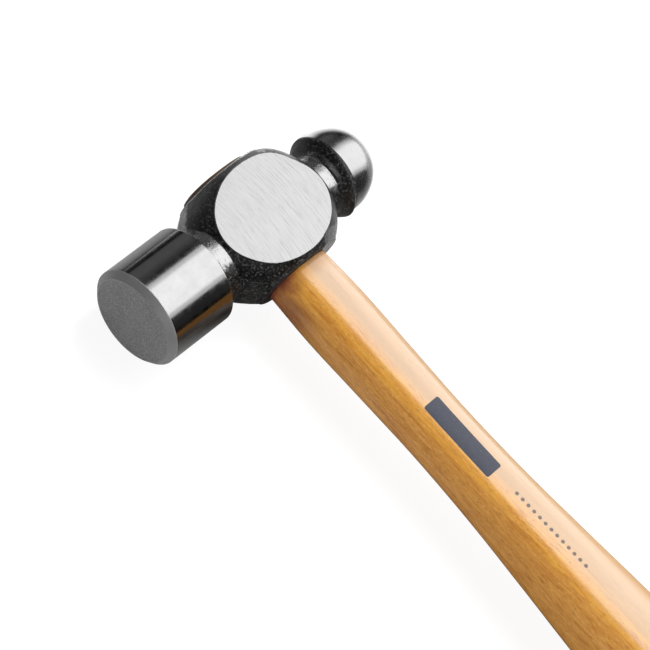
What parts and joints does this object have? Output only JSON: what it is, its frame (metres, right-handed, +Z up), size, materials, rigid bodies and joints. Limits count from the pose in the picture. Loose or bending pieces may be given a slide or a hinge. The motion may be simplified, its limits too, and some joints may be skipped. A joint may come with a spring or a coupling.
{
  "type": "ball peen hammer",
  "caption": "Ball peen hammer with a forged steel head, a round flat striking face, a domed ball peen, ground cheeks and an oval wooden handle.",
  "frame": {"origin": "middle of the bounding box, at its base", "axes": "+X from the top of the head along the handle to its butt, +Y from the striking face to the ball, +Z up, square to the ground cheeks"},
  "size_m": [0.3238, 0.0988, 0.032],
  "materials": {
    "forged_steel": "black forged body and necks, polished face cylinder and ball, brushed cheeks, matte striking face",
    "varnished_wood": "clear gloss varnish over fine straight grain with short dark flecks",
    "wedge_wood": "sawn end grain, unvarnished",
    "wedge_steel": "dull mild steel"
  },
  "bodies": {
    "root": {"head": "forged_steel", "handle": "varnished_wood", "wood_wedge": "wedge_wood", "steel_wedge_1": "wedge_steel", "steel_wedge_2": "wedge_steel"}
  },
  "joints": []
}
